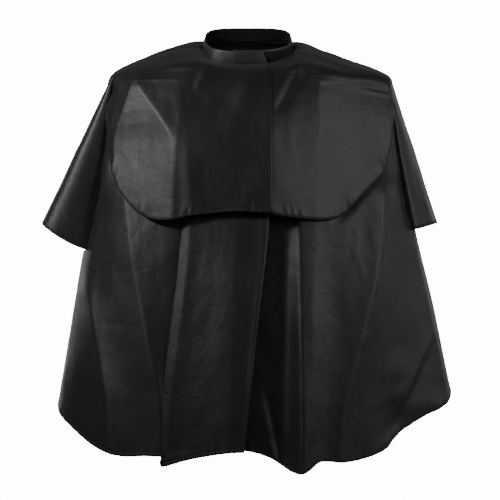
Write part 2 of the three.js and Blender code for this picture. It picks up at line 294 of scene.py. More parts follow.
def wrinkles(points, seed):
    """Soft swells, with a net of faint sharp creases over them."""
    swell = 1.3 * crumple(points, seed, 95, (1, 1, 0.5))
    net = 0.7 * (0.35 - np.abs(crumple(points, seed + 5, 52, (1, 1, 0.5))))
    return swell + net


GATHER_PITCH = 17.0          # along the hem, from one gather to the next


def hem_pucker(points, seed, reach=13.0, height=0.8):
    """Little gathers that the hem's stitching pulls into the cloth beside it."""
    run = length_along(points[-1])
    depth = np.linalg.norm(points - points[-1][None], axis=-1)
    phase = run / GATHER_PITCH * 2 * math.pi
    strength = 0.45 + 0.55 * np.sin(phase * 0.17 + seed * 2)
    wave = np.sin(phase + 1.7 * np.sin(phase * 0.31 + seed)) * strength
    return height * wave[None, :] * np.exp(-(depth / reach) ** 2)


# ---- meshes ----
def normals_of(points, outward=None):
    """Unit normals of a grid. They face away from the body, or like outward at the first row's middle."""
    normal = unit(np.cross(np.gradient(points, axis=1), np.gradient(points, axis=0)))
    if outward is None:
        hint = points.copy()
        hint[..., 2] = 150.0
        return normal * (1 if np.sum(normal * hint) > 0 else -1)
    middle = points.shape[1] // 2
    return normal * (1 if np.dot(normal[0, middle], outward) > 0 else -1)


def link_mesh(name, vertices, faces, material):
    """An object in the scene, with smooth faces, from vertices in millimetres."""
    mesh = bpy.data.meshes.new(name)
    mesh.from_pydata((np.asarray(vertices) * MM).tolist(), [], faces)
    mesh.polygons.foreach_set("use_smooth", np.full(len(mesh.polygons), True))
    obj = bpy.data.objects.new(name, mesh)
    bpy.context.scene.collection.objects.link(obj)
    obj.data.materials.append(material)
    return obj


def grid_mesh(name, points, material, thickness, outward=None, uv=None):
    """A sheet of some thickness from a grid of points, with lengths in the cloth as UVs in metres."""
    rows, columns = points.shape[:2]
    index = np.arange(rows * columns).reshape(rows, columns)
    around_cell = [index[:-1, :-1], index[:-1, 1:], index[1:, 1:], index[1:, :-1]]
    faces = np.stack(around_cell, axis=-1).reshape(-1, 4)
    normal = normals_of(points, outward)
    plain = np.cross(np.gradient(points, axis=1), np.gradient(points, axis=0))
    if np.sum(plain * normal) > 0:
        faces = faces[:, ::-1]
    obj = link_mesh(name, points.reshape(-1, 3), faces.tolist(), material)
    if uv is None:
        u, v = np.zeros((rows, columns)), np.zeros((rows, columns))
        u[:, 1:] = np.cumsum(np.linalg.norm(np.diff(points, axis=1), axis=-1), axis=1)
        v[1:, :] = np.cumsum(np.linalg.norm(np.diff(points, axis=0), axis=-1), axis=0)
    else:
        u, v = uv
    mesh = obj.data
    layer = mesh.uv_layers.new(name="cloth")
    corners = np.zeros(len(mesh.loops), dtype=int)
    mesh.loops.foreach_get("vertex_index", corners)
    layer.data.foreach_set("uv", (np.stack([u.ravel()[corners], v.ravel()[corners]], axis=-1) * MM).ravel())
    solid = obj.modifiers.new("thickness", "SOLIDIFY")
    solid.thickness = thickness * MM
    solid.offset = -1
    return obj


def inward_rows(points, edge):
    """The grid turned so that its first row is the edge and later rows lead into the cloth."""
    if edge == "hem":
        return points[::-1]
    turned = np.swapaxes(points, 0, 1)
    return turned if edge == "first" else turned[::-1]


def rows_and_normals(points, edge):
    """A sheet's points and its normals, both in rows that lead inward from an edge."""
    return inward_rows(points, edge), inward_rows(normals_of(points), edge)


def at_depths(rows, values, depths):
    """Values at set distances from the first row, measured down each column of the grid."""
    near = 40
    run = np.zeros((near, rows.shape[1]))
    run[1:] = np.cumsum(np.linalg.norm(np.diff(rows[:near], axis=0), axis=-1), axis=0)
    result = np.zeros((len(depths), rows.shape[1], 3))
    for column in range(rows.shape[1]):
        for k in range(3):
            result[:, column, k] = np.interp(depths, run[:, column], values[:near, column, k])
    return result


def bound_edge(name, points, edge, width=BINDING_WIDTH):
    """A tape folded over an edge, and the stitches that hold it."""
    rows, normals = rows_and_normals(points, edge)
    depths = np.array(BINDING_ROWS) * width
    face = at_depths(rows, rows, depths)
    normal = unit(at_depths(rows, normals, depths))
    clear = TAPE + 0.1
    outer = face + normal * clear
    inner = face - normal * (CLOTH + clear)
    onward = unit(rows[0] - at_depths(rows, rows, [3.0])[0])
    nose = rows[0] + onward * 0.8 - normal[-1] * CLOTH / 2
    grid = np.concatenate([outer, nose[None], inner[::-1]])
    tape = grid_mesh(name, grid, BINDING, TAPE, outward=normal[0, grid.shape[1] // 2])
    seam = [width - STITCH_INSET]
    line = at_depths(rows, rows, seam)[0] + unit(at_depths(rows, normals, seam)[0]) * clear
    stitches = stitch_row(name.replace("binding", "stitches"), line, normal[0])
    return tape, stitches


def tiny_threads(name, place, along, up, path, material, sides=5):
    """Many small threads of one shape. path holds (along, up, radius) points in each thread's own plane."""
    path = np.array(path, float)
    heading = unit(np.gradient(path[:, :2], axis=0))
    beside = unit(np.cross(along, up))
    rings = []
    for (forward, rise, radius), (run, climb) in zip(path, heading):
        across = up * run - along * climb
        centre = place + along * forward + up * rise
        for k in range(sides):
            turn = 2 * math.pi * k / sides
            rings.append(centre + radius * (across * math.sin(turn) + beside * math.cos(turn)))
    vertices = np.swapaxes(np.array(rings), 0, 1).reshape(-1, 3)
    each = sides * len(path)
    pattern = []
    for ring in range(len(path) - 1):
        for k in range(sides):
            a, b = ring * sides + k, ring * sides + (k + 1) % sides
            pattern.append((a, b, b + sides, a + sides))
    pattern.append(tuple(range(sides - 1, -1, -1)))
    pattern.append(tuple(range(each - sides, each)))
    faces = [tuple(first + corner for corner in face)
             for first in range(0, len(place) * each, each) for face in pattern]
    return link_mesh(name, vertices, faces, material)


# one stitch as (along, up, radius) points: both of its ends sink into the cloth
STITCH = [(-1.15, -0.25, 0.1), (-0.5, 0.1, 0.28), (0.5, 0.1, 0.28), (1.15, -0.25, 0.1)]
STITCH_PITCH = 3.2


def stitch_row(name, line, normal):
    """Short raised stitches along a line on the cloth."""
    run = length_along(line)
    centres = np.arange(STITCH_PITCH, run[-1] - STITCH_PITCH / 2, STITCH_PITCH)

    def sample(values, places):
        return np.stack([np.interp(places, run, values[:, k]) for k in range(3)], axis=-1)

    along = unit(sample(line, centres + 1) - sample(line, centres - 1))
    return tiny_threads(name, sample(line, centres), along, unit(sample(normal, centres)), STITCH, THREAD)


# ---- materials ----
class Shading:
    """Adds nodes to a material's or a world's tree. Every method gives back one output of its node."""

    def __init__(self, tree):
        self.nodes, self.links = tree.nodes, tree.links

    def feed(self, node, inputs):
        """Sets inputs to values, or links them where they come from another node's output."""
        for word, value in inputs.items():
            if isinstance(value, bpy.types.NodeSocket):
                self.links.new(value, node.inputs[word])
            else:
                node.inputs[word].default_value = value

    def add(self, kind, inputs, output, **settings):
        node = self.nodes.new("ShaderNode" + kind)
        for word, value in settings.items():
            setattr(node, word, value)
        self.feed(node, inputs)
        return node.outputs[output]

    def noise(self, vector, scale, detail=4, roughness=0.5):
        inputs = {"Vector": vector, "Scale": scale, "Detail": detail, "Roughness": roughness}
        return self.add("TexNoise", inputs, "Fac")

    def shades(self, factor, colour, shares, positions):
        """Shades between two shares of a colour, which the factor reaches at two positions."""
        node = self.nodes.new("ShaderNodeValToRGB")
        for stop, share, position in zip(node.color_ramp.elements, shares, positions):
            stop.position = position
            stop.color = (*[c * share for c in colour], 1)
        self.feed(node, {"Fac": factor})
        return node.outputs["Color"]

    def stretched(self, value, taken, given):
        """A value, with the range that it is taken from stretched to the range that is given."""
        inputs = {"Value": value, "From Min": taken[0], "From Max": taken[1], "To Min": given[0],
                  "To Max": given[1]}
        return self.add("MapRange", inputs, "Result")

    def bump(self, height, strength, distance, below=None):
        """Normals bent by a height, over the bumps that are below."""
        inputs = {"Height": height, "Strength": strength, "Distance": distance}
        if below is not None:
            inputs["Normal"] = below
        return self.add("Bump", inputs, "Normal")

    def weave(self, vector, pitch):
        """The height of a plain weave: threads both ways, pitch metres apart."""
        inputs = {"Vector": vector, "Scale": math.pi / 10 / pitch}
        warp, weft = (self.add("TexWave", inputs, "Fac", bands_direction=way) for way in ("X", "Y"))
        return self.add("Math", {0: warp, 1: weft}, "Value", operation="MULTIPLY")


def new_material(name):
    """A material, what adds nodes to it, and its surface shader."""
    material = bpy.data.materials.new(name)
    material.use_nodes = True
    shading = Shading(material.node_tree)
    return material, shading, shading.nodes["Principled BSDF"]


def cloth_material(name, colour, roughness, specular, sheen, weave_pitch, weave_strength, swell):
    """Woven cloth: an uneven dye, threads both ways, small swells, and a broad soft gloss."""
    material, shading, shader = new_material(name)
    uv = shading.add("UVMap", {}, "UV", uv_map="cloth")
    tone = shading.noise(uv, 11, 8, 0.62)
    patchy = shading.noise(uv, 320, 5, 0.7)
    net = shading.add("TexVoronoi", {"Vector": uv, "Scale": 15}, "Distance", feature="DISTANCE_TO_EDGE")

    normal = shading.bump(shading.stretched(net, (0, 0.06), (0, 1)), 0.2, 0.0004)
    normal = shading.bump(shading.weave(uv, weave_pitch), weave_strength, weave_pitch * 0.2, normal)
    normal = shading.bump(shading.noise(uv, 230, 3), swell * 0.6, 0.0004, normal)
    normal = shading.bump(shading.noise(uv, 45, 4, 0.6), swell, 0.0014, normal)
    shading.feed(shader, {
        "Base Color": shading.shades(tone, colour, (0.72, 1.35), (0.3, 0.7)),
        "Roughness": shading.stretched(patchy, (0.3, 0.7), (roughness - 0.06, roughness + 0.06)),
        "Specular IOR Level": specular,
        "Sheen Weight": sheen,
        "Sheen Roughness": 0.45,
        "Sheen Tint": (0.94, 0.94, 1.0, 1),
        "Normal": normal,
    })
    return material


def fuzz_material(name, colour, roughness, grain, strength):
    """A matt surface of tangled or pressed fibres, or moulded plastic."""
    material, shading, shader = new_material(name)
    fibres = shading.noise(shading.add("TexCoord", {}, "Object"), grain, 6, 0.7)
    shading.feed(shader, {
        "Base Color": shading.shades(fibres, colour, (0.6, 1.5), (0, 1)),
        "Roughness": roughness,
        "Specular IOR Level": 0.25,
        "Normal": shading.bump(fibres, strength, 0.0004),
    })
    return material


NYLON = cloth_material("nylon_black", (0.0104, 0.01, 0.0115), 0.43, 0.3, 0.04, 0.00045, 0.3, 0.36)
# The band's and tab's nylon: the black nylon with a lighter base colour, which paints in the brighter
# highlight on the band and tab, and with its own gloss settings.
BAND_NYLON_LIGHTENED_FOR_HIGHLIGHT = cloth_material("nylon_black_band_painted_highlight", (0.014, 0.0135, 0.0155), 0.5, 0.55, 0.04, 0.00045, 0.3, 0.3)
BINDING = cloth_material("binding_black", (0.008, 0.0075, 0.009), 0.58, 0.25, 0.03, 0.0006, 0.5, 0.2)
THREAD = fuzz_material("thread_black", (0.016, 0.015, 0.018), 0.6, 2500, 0.3)
LOOP_PILE = fuzz_material("loop_pile_charcoal", (0.016, 0.0155, 0.0165), 0.95, 1800, 0.8)
HOOK_PLASTIC = fuzz_material("hook_plastic_black", (0.012, 0.012, 0.013), 0.45, 900, 0.2)
INTERFACING = fuzz_material("interfacing_grey", (0.05, 0.05, 0.052), 0.9, 700, 0.5)


# ---- the body ----
LAP = 5.0                    # the outer front stands this far over the inner one
UNDER_FLAP = -9.0            # the body cloth keeps back under the flap
OUTER_EDGE = [19, 14, 9.5, 9.5, 8.6, 6.6, 2.6, -1.0]     # angles of the opening's edges at each ring
INNER_EDGE = [-14] * 8
LAP_RAMP = (-34, -19)        # angles over which the outer front rises onto the inner one
BODY_LEVELS = np.linspace(NECK_LEVEL, HEM_LEVEL, 200)
BODY_SEED = 1                # one pattern of wrinkles on all the panels, so that they meet at the seams

# The creases of the right front, from the side to the pleat, and of the layer that folds back over it.
UNDER_CREASES = [
    Crease((-252, -260, 0), (-276, -394, 0), (-290, -480, 0), (-302, -600, 0), (-306, -700, 0)),
    Crease((-240, -260, 0), (-264, -394, 1), (-251, -470, 3), (-238, -530, 5), (-226, -587, 6),
           (-220, -700, 6), soft=2),
    Crease((-225, -260, 0), (-219, -450, -2), (-200, -550, -3), (-184, -700, -4), soft=16),
    Crease((-203, -240, 1), (-190, -338, 3), (-177, -411, 5), (-164, -474, 6), (-140, -584, 7),
           (-137, -700, 7), soft=1.5),
    Crease((-122, -240, -1), (-124, -400, -5), (-124, -500, -6), (-122, -700, -6), soft=8),
    Crease((-60, -240, -6), (-60, -700, -8)),
]
PLEAT_EDGE = Crease((-103, -240, 1), (-103, -290, 1), (-112, -388, 2), (-128, -517, 4), (-136, -604, 5),
                    (-134, -700, 5))
OVER_CREASES = [
    PLEAT_EDGE,
    Crease((-94, -240, 4.5), (-94, -290, 4.5), (-101, -388, 6.5), (-117, -517, 8), (-130, -604, 7.2),
           (-130, -700, 6.5), soft=2.5),
    Crease((-80, -240, 4), (-80, -388, 6), (-94, -517, 7), (-108, -604, 6.5), (-112, -700, 6), soft=8),
    Crease((-16, -240, 8), (-20, -400, 18), (-24, -520, 21), (-27, -650, 22), soft=8),
    Crease((14, -280, 9), (6, -450, 17.5), (-3, -560, 20), (-8, -700, 21), soft=4),
    Crease((31, -280, 11), (26, -354, 15), (16, -450, 20), (6, -546, 23), (-3, -700, 24), soft=2),
    Crease((38, -280, 9), (32, -354, 12), (22, -450, 16), (12, -546, 19), (3, -700, 20)),
]
LEFT_CREASES = [
    Crease((-60, -240, -7), (-60, -700, -9)),
    Crease((30, -225, -7), (20, -450, -10), (-5, -560, -12), (-12, -700, -12), soft=8),
    Crease((65, -225, -7), (64, -450, -10), (61, -560, -12), (55, -700, -14), soft=6),
    Crease((82, -225, -4), (84, -400, 9), (84, -450, 13), (86, -560, 18), (87, -700, 22), soft=2),
    Crease((106, -225, -6), (106, -450, 9), (101, -560, 13), (103, -700, 14), soft=2.5),
    Crease((134, -225, -7), (132, -450, 0), (126, -560, 3), (122, -700, 4), soft=14),
    Crease((226, -225, 3), (220, -338, 4), (205, -405, 6), (186, -483, 7), (169, -539, 7.5), (153, -597, 8),
           (146, -700, 8.5), soft=2.5),
    Crease((243, -225, -2), (238, -405, -4), (222, -483, -6), (212, -560, -8), (205, -700, -8), soft=16),
    Crease((258, -225, 0), (285, -405, 0), (305, -500, 0), (325, -600, 0), (330, -700, 0)),
]
RIGHT_FOLDS = [
    Fold((-262, -300), (-290, -600), (2, 4), (16, 30), (20, 30), 0.2),
    Fold((-128, -662), (-92, -668), (1.5, 1), (8, 8), (8, 8), 0.2),
]
LEFT_FOLDS = [
    Fold((304, -500), (250, -612), (2, 5), (34, 50), (8, 12), 0.06),
    Fold((232, -560), (232, -650), (-2, -4), (22, 30), (20, 26), 0.3),
    Fold((28, -575), (56, -690), (-1.5, -4), (6, 8), (20, 28), 0.08),
    Fold((262, -380), (240, -540), (-2, -3), (24, 30), (24, 30), 0.4),
]

# Heights of the hem seen from the front, as (x, z) pairs from the right side to the left.
HEM_RIGHT = [(-323, -595), (-313, -609), (-300, -621), (-279, -637), (-255, -653), (-230, -663),
             (-200, -668), (-165, -666), (-100, -665)]
HEM_RIGHT_OVER = [(-140, -683), (-128, -680), (-103, -672), (-65, -663), (-27, -657), (5, -656), (30, -656)]
HEM_LEFT = [(-60, -654), (-10, -656), (19, -662), (41, -671), (63, -686), (78, -691), (92, -689),
            (101, -683), (112, -674), (130, -673), (150, -675), (168, -674), (190, -670), (211, -664),
            (226, -656), (238, -642), (250, -631), (266, -622), (294, -608), (318, -599), (333, -589),
            (343, -576)]
HEM_BEND_LEVEL = 3.6         # the hem's ups and downs fade out above this level


def pair_curve(pairs, x):
    """A smooth curve through (x, z) pairs."""
    xs, zs = np.array(pairs, float).T
    slopes = np.gradient(zs, xs)
    x = np.clip(x, xs[0], xs[-1])
    k = np.clip(np.searchsorted(xs, x) - 1, 0, len(xs) - 2)
    gap = xs[k + 1] - xs[k]
    t = (x - xs[k]) / gap
    return ((2 * t ** 3 - 3 * t ** 2 + 1) * zs[k] + (t ** 3 - 2 * t ** 2 + t) * gap * slopes[k]
            + (3 * t ** 2 - 2 * t ** 3) * zs[k + 1] + (t ** 3 - t ** 2) * gap * slopes[k + 1])


def cut_hem(points, level, target):
    """Moves the lower cloth up or down so that its last row lies at the heights that target gives."""
    shift = target - points[-1, :, 2]
    share = np.clip((level - HEM_BEND_LEVEL) / (HEM_LEVEL - HEM_BEND_LEVEL), 0, 1) ** 1.6
    moved = points.copy()
    moved[..., 2] += shift[None, :] * share
    return moved


RING_ANGLES = np.arange(-200, 380, 2.0)
RING_RUN = np.cumsum(np.linalg.norm(np.diff(body_surface(RING_ANGLES, 5), axis=0, prepend=0), axis=-1))
DROP_LEVELS = np.linspace(0, HEM_LEVEL, 60)
DROP_RUN = np.cumsum(np.linalg.norm(np.diff(body_surface(30, DROP_LEVELS), axis=0, prepend=0), axis=-1))


def cloth_uv(angle, level):
    """Lengths across and down the cloth."""
    return np.interp(angle, RING_ANGLES, RING_RUN), np.interp(level, DROP_LEVELS, DROP_RUN)


def under_flap(angle, z):
    """How far the body cloth keeps back where the flap covers it."""
    covered = smooth(-z, 60, 100) * (1 - smooth(-z, 225, 275)) * (1 - smooth(np.abs(angle), 52, 62))
    return UNDER_FLAP * covered


def below_flap(z):
    """How far the cloth hangs free of the flap, from 0 at its hem to 1."""
    return smooth(-z, 195, 262)


def off_the_seam(angle):
    """The facets give way to the round side before the seam, where front and back are sewn together."""
    return 1 - smooth(np.abs(angle), 72, 87)


# how far the cloth is carried up beside the neck or sinks over the shoulder, as (x, rise) pairs
SHOULDER_RISE = [(-260, 0), (-225, -5), (-190, -3.5), (-150, 2.5), (-118, 8.5), (-90, 10), (-70, 5),
                 (-50, 0), (50, 0), (70, 4), (90, 9), (110, 6), (135, -0.5), (170, -8), (200, -9),
                 (230, -8), (260, 0)]


def lift_shoulders(points):
    """Carries the cloth up beside the neck, and lets it sink over the shoulders."""
    x, z = points[..., 0], points[..., 2]
    rise = pair_curve(SHOULDER_RISE, x) * smooth(z, -90, -25)
    moved = points.copy()
    moved[..., 0] -= 0.4 * np.sign(x) * np.maximum(rise, 0) * (1 - smooth(np.abs(x), 82, 104))
    moved[..., 2] += rise
    return moved


def keep_under_flap(points, side):
    """Keeps the body's cloth behind the flap, down to just below the flap's hem."""
    x, z = points[..., 0], points[..., 2]
    outline = np.array(sorted(FLAP_OUTLINE[side]), float)
    above_hem = z - np.interp(x, outline[:, 0], outline[:, 1])
    inside = (x > outline[0, 0]) & (x < outline[-1, 0])
    covered = smooth(above_hem, -14, 2) * smooth(-z, *FLAP_FACETS_FROM[side]) * inside
    forward = -points[..., 1]
    behind = np.minimum(forward, facet_depth(FLAP_CREASES[side], x, z) - FLAP_CLEARANCE)
    moved = points.copy()
    moved[..., 1] = -lerp(forward, behind, covered)
    return moved


def finish_panel(points, normal, folds, seed, level, hem, flaps=()):
    """Adds folds, wrinkles, the hem's line and its gathers to a panel, and keeps it under any flaps."""
    points = lift_shoulders(points)
    points = points + normal * (push_of(folds, points) + wrinkles(points, BODY_SEED))[..., None]
    for side in flaps:
        points = keep_under_flap(points, side)
    points = cut_hem(points, level, hem(points[-1, :, 0]))
    return points + normals_of(points) * hem_pucker(points, seed)[..., None]


PLEAT_DEPTH = (1.5, 26)      # how far the cloth runs under, at the flap and at the hem
PLEAT_TURN = 2.0             # radius of the pleat's two folds
MM_PER_DEGREE = np.radians(1) * 235   # along the front, where the pleat is
PLEAT_COLUMNS = (75, 7, 6, 60)       # before the pleat, round each turn, between the turns, and after it


def right_front():
    """The outer front half, with the deep pleat: the cloth runs under its own fold and back over it."""
    level = BODY_LEVELS
    before, turn_count, between, after = PLEAT_COLUMNS
    turn = np.radians(np.linspace(-90, 90, turn_count + 2)[1:-1])
    z_front = body_surface(-20, level)[:, 2]
    pleat_x = PLEAT_EDGE.at(z_front)[0]
    pleat = angle_at(pleat_x, z_front)
    opened = smooth(level, 4.5, 5.2)
    width = lerp(*PLEAT_DEPTH, smooth(level, 4.5, 7)) * np.maximum(opened, 0.03)
    deep = pleat + width / MM_PER_DEGREE
    start, end = -side_angle(RIGHT, level), along_knots(OUTER_EDGE, level)
    bulge = PLEAT_TURN * opened / MM_PER_DEGREE
    into_pleat = spread_columns(start, deep, RIGHT, before // 5, before - before // 5)

    def row(k):
        run_in = into_pleat[k]
        inner = deep[k] + bulge[k] * np.cos(turn)
        back = np.linspace(deep[k], pleat[k], between)
        outer = pleat[k] - bulge[k] * np.cos(turn)
        run_out = lerp(pleat[k], end[k], np.linspace(0, 1, after))
        return np.concatenate([run_in, inner, back, outer, run_out])

    angle = np.array([row(k) for k in range(len(level))])
    quarter = 0.25 * (1 + np.sin(turn))
    over = np.concatenate([np.zeros(before), quarter, np.full(between, 0.5), 0.5 + quarter, np.ones(after)])
    levels = np.broadcast_to(level[:, None], angle.shape)
    base, normal = body_surface(angle, levels), body_normal(angle, levels)
    lap = lerp(0.5, LAP, smooth(levels, 0, 1.2)) * smooth(angle, *LAP_RAMP)
    rise = over * 2.5 * smooth(levels, 1, 3)
    points = base + normal * (lap + rise + under_flap(angle, base[..., 2]))[..., None]

    x, z = points[..., 0], points[..., 2]
    flat = lerp(facet_depth(UNDER_CREASES, x, z), facet_depth(OVER_CREASES, x, z), over)
    first = UNDER_CREASES[0].at(z)[0]
    share = smooth(x, first - FACET_FADE, first) * below_flap(z) * off_the_seam(angle)
    points[..., 1] = -lerp(-points[..., 1], flat, share)

    def hem(x):
        return lerp(pair_curve(HEM_RIGHT, x), pair_curve(HEM_RIGHT_OVER, x), over)

    points = finish_panel(points, normal, RIGHT_FOLDS, 1, levels, hem, (RIGHT, LEFT))
    return points, cloth_uv(angle + over * 12, levels)


def left_front():
    """The inner front half."""
    start, end = along_knots(INNER_EDGE, BODY_LEVELS), side_angle(LEFT, BODY_LEVELS)
    angle = spread_columns(end, start, LEFT, 20, 130)[:, ::-1]
    levels = np.broadcast_to(BODY_LEVELS[:, None], angle.shape)
    base, normal = body_surface(angle, levels), body_normal(angle, levels)
    points = base + normal * under_flap(angle, base[..., 2])[..., None]
    points = hang_flat(points, LEFT_CREASES, below_flap(points[..., 2]) * off_the_seam(angle))

    def hem(x):
        return pair_curve(HEM_LEFT, x)

    points = finish_panel(points, normal, LEFT_FOLDS, 11, levels, hem, (RIGHT, LEFT))
    return points, cloth_uv(angle, levels)


# height, waves in a full turn, phase, and how the flute leans from level to level
BACK_FLUTES = [(8, 9, 0.6, 0), (5, 14, 2.1, 0.25), (3, 23, 0, 1)]


def back():
    """The one-piece back, which hangs in soft flutes that grow towards the hem."""
    middle = np.zeros(len(BODY_LEVELS))
    to_left = spread_columns(-side_angle(LEFT, BODY_LEVELS), middle, -1, 25, 90)
    to_right = spread_columns(side_angle(RIGHT, BODY_LEVELS), middle, 1, 25, 90)[:, ::-1]
    angle = 180 + np.hstack([to_left, to_right[:, 1:]])
    levels = np.broadcast_to(BODY_LEVELS[:, None], angle.shape)
    base, normal = body_surface(angle, levels), body_normal(angle, levels)
    around = np.radians(angle)
    flutes = sum(height * np.sin(around * waves + phase + levels * lean)
                 for height, waves, phase, lean in BACK_FLUTES)
    grown = smooth(levels, 2.6, 7) ** 1.2 * (1 - smooth(np.abs(angle - 180), 40, 88))
    points = base + normal * (flutes * grown)[..., None]

    def hem(x):
        side = np.where(x < 0, pair_curve(HEM_RIGHT, x), pair_curve(HEM_LEFT, x))
        return lerp(base[-1, :, 2], side + 3, smooth(np.abs(angle[-1] - 180), 35, 65))

    return finish_panel(points, normal, [], 21, levels, hem), cloth_uv(angle, levels)


# ---- sleeves ----
SLEEVE_TOP = -46
SLEEVE_TIP = {RIGHT: -292, LEFT: -291}
SLEEVE_START_X = {RIGHT: 228, LEFT: 241}
SLEEVE_FLARE = {RIGHT: 0.478, LEFT: 0.325}
SLEEVE_CORNER = {RIGHT: 5.0, LEFT: 2.0}     # how square its section is
SLEEVE_ROWS, SLEEVE_COLUMNS = 76, 64
SLEEVE_VALLEY = (-5, -0.62, 0.2)      # height, place and reach across the left sleeve
SLEEVE_TUCK = (1.5, 2.5)      # degrees that it runs under the body's cloth, and how far inside that cloth


def sleeve(side):
    """A flutter sleeve: the nose of a wing between the armhole's two edges, open below."""
    across, down = np.meshgrid(np.linspace(-1, 1, SLEEVE_COLUMNS), np.linspace(0, 1, SLEEVE_ROWS))
    turn = across * np.pi / 2
    corner = SLEEVE_CORNER[side]
    reach = (np.abs(np.cos(turn)) ** corner + np.abs(np.sin(turn)) ** corner) ** (-1 / corner)
    out = np.maximum(np.cos(turn), 0) * reach
    z = lerp(SLEEVE_TOP, lerp(UNDERARM[side], SLEEVE_TIP[side], out ** 1.25), down)
    front_angle = side * (ARMHOLE_ANGLE - SLEEVE_TUCK[0])
    back_angle = side * (180 - ARMHOLE_ANGLE + SLEEVE_TUCK[0])
    front = body_surface(front_angle, level_at(front_angle, z))
    behind = body_surface(back_angle, level_at(back_angle, z))
    root = lerp(np.abs(front[..., 0]), np.abs(behind[..., 0]), (across + 1) / 2)
    tip = SLEEVE_START_X[side] + SLEEVE_FLARE[side] * (SLEEVE_TOP - z)
    depth = np.where(across < 0, np.abs(front[..., 1]), np.abs(behind[..., 1]))
    x = side * (root + (tip - root) * out)
    y = depth * np.sin(turn) * reach
    base = np.stack([x, y, z], axis=-1)
    push = wrinkles(base, 31 + side)
    if side == LEFT:
        height, middle, width = SLEEVE_VALLEY
        push = push + height * smooth(down, 0.2, 1) * np.exp(-((across - middle) / width) ** 2)
    push = push * out ** 0.5 - SLEEVE_TUCK[1] * smooth(np.abs(across), 0.9, 0.97)
    points = base + normals_of(base) * push[..., None]
    return points + normals_of(points) * (hem_pucker(points, 5, height=0.5) * out)[..., None]


# ---- chest flap ----
NECK_STAND, FLAP_STAND = 2.0, 8.0    # how far the flap stands off the body's shape, at the neck and below
FLAP_LAP = (1.2, 1.6)        # how far the outer half stands over the inner one, at the neck and below
FLAP_CLEARANCE = 3.5         # from the body's cloth to the flap
FLAP_ANGLE = 64
FLAP_FOLD = -62              # height of the pressed fold at the front, and how far it drops at the sides
FLAP_FOLD_DROP = 22
FLAP_TOP_ROWS, FLAP_LOWER_ROWS, FLAP_COLUMNS = 50, 100, 150
FLAP_OUTLINE = {
    RIGHT: [(-232, -84), (-229, -120), (-224, -170), (-217, -212), (-204, -245), (-184, -271), (-165, -284),
            (-150, -290), (-128, -291), (-112, -288), (-92, -284), (-60, -280), (-20, -277), (40, -279)],
    LEFT: [(238, -86), (236, -118), (231, -158), (225, -190), (219, -213), (197, -235), (180, -254),
           (167, -269), (155, -281), (140, -288), (126, -290), (106, -290), (67, -286), (37, -281), (0, -278),
           (-60, -276)],
}
FLAP_CREASES = {
    RIGHT: [
        Crease((-232, -40, 10), (-232, -290, 8)),
        Crease((-188, -50, 15), (-196, -75, 12), (-205, -105, 10), (-221, -145, 12.5), (-221, -290, 8.5),
               soft=2),
        Crease((-185, -50, 16), (-185, -62, 15), (-170, -84, 13), (-155, -105, 14), (-121, -152, 22),
               (-125, -290, 20), soft=2),
        Crease((-106, -42, 13), (-108, -60, 10), (-108, -80, 10), (-110, -105, 13), (-115, -152, 22.5),
               (-120, -290, 20.5), soft=1.5),
        Crease((30, -40, 10), (36, -60, 12), (38, -105, 17), (38, -152, 23), (38, -290, 26), soft=3),
        Crease((60, -40, 6), (60, -290, 20)),
    ],
    LEFT: [
        Crease((-60, -40, 2), (-60, -105, 6), (-60, -152, 14), (-60, -290, 17)),
        Crease((30, -40, 8.4), (36, -60, 10.4), (36, -105, 15.4), (36, -152, 21.4), (36, -290, 24.4),
               soft=3),
        Crease((118, -50, 5), (117, -75, 3), (117, -105, 1), (116, -152, 0.5), (113, -290, 4), soft=1.5),
        Crease((228, -40, 6), (228, -55, 4), (228, -75, 3), (230, -100, 2), (236, -150, 5), (238, -200, 3),
               (238, -290, -2)),
    ],
}
FLAP_FACETS_FROM = {RIGHT: (36, 76), LEFT: (36, 74)}     # depths below the neck over which its facets begin
FLAP_FOLDS = {
    RIGHT: [
        Fold((-94, -165), (31, -257), (3.5, 3.5), (70, 70), (60, 60), 0.06, fade=0.25),
        Fold((-98, -172), (-90, -290), (1, 3.5), (12, 16), (14, 26), 0.15),
        Fold((-62, -32), (-84, -78), (2.5, 1.5), (8, 8), (10, 12), 0.2),
        Fold((4, -64), (-34, -150), (3, 1.5), (18, 22), (16, 26), 0.25),
        Fold((-217, -58), (-107, -60), (0.7, 0.7), (5, 5), (5, 5), 0.06),
    ],
    LEFT: [
        Fold((84, -38), (50, -108), (-4, -3), (9, 8), (16, 14), 0.15),
        Fold((99, -58), (236, -82), (0.8, 0.8), (5, 5), (5, 5), 0.06),
        Fold((222, -190), (165, -262), (1.2, 2), (14, 18), (22, 28), 0.15),
    ],
}


def even_steps(pairs, count):
    """Points at even distances along a smoothed outline of (x, z) pairs."""
    pairs = np.array(pairs, float)
    run = length_along(pairs)
    places = np.linspace(0, run[-1], count)
    even = np.stack([np.interp(places, run, pairs[:, k]) for k in (0, 1)], axis=-1)
    weights = np.exp(-(np.arange(-5, 6) / 2.5) ** 2)
    padded = np.pad(even, ((5, 5), (0, 0)), mode="reflect", reflect_type="odd")
    return np.stack([np.convolve(padded[:, k], weights / weights.sum(), "valid") for k in (0, 1)], axis=-1)


